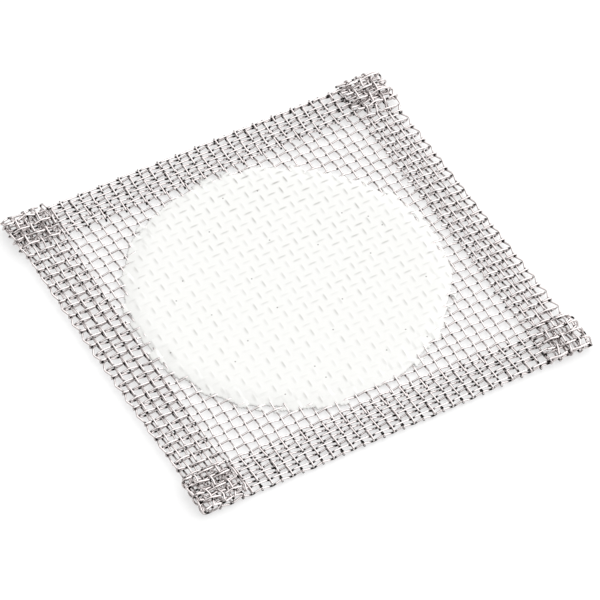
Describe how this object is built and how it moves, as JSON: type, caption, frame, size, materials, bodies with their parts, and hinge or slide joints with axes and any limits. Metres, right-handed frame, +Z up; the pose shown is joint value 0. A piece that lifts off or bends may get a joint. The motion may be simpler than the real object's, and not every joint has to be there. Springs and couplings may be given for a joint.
{
  "type": "wire gauze",
  "caption": "Square of woven steel wire cloth with folded hems and a round ceramic centre, laid over a burner to spread its heat under a vessel.",
  "frame": {"origin": "centre of the square, on the surface that the gauze lies on", "axes": "+Z up, out of the face onto which the edges are folded; +X to the right and +Y to the back, along the wires"},
  "size_m": [0.1268, 0.125, 0.0046],
  "materials": {
    "steel_wire": "drawn wire, dull grey",
    "ceramic": "fired, unglazed, chalky"
  },
  "bodies": {
    "root": {"wire_cloth": "steel_wire", "ceramic_centre": "ceramic"}
  },
  "joints": []
}
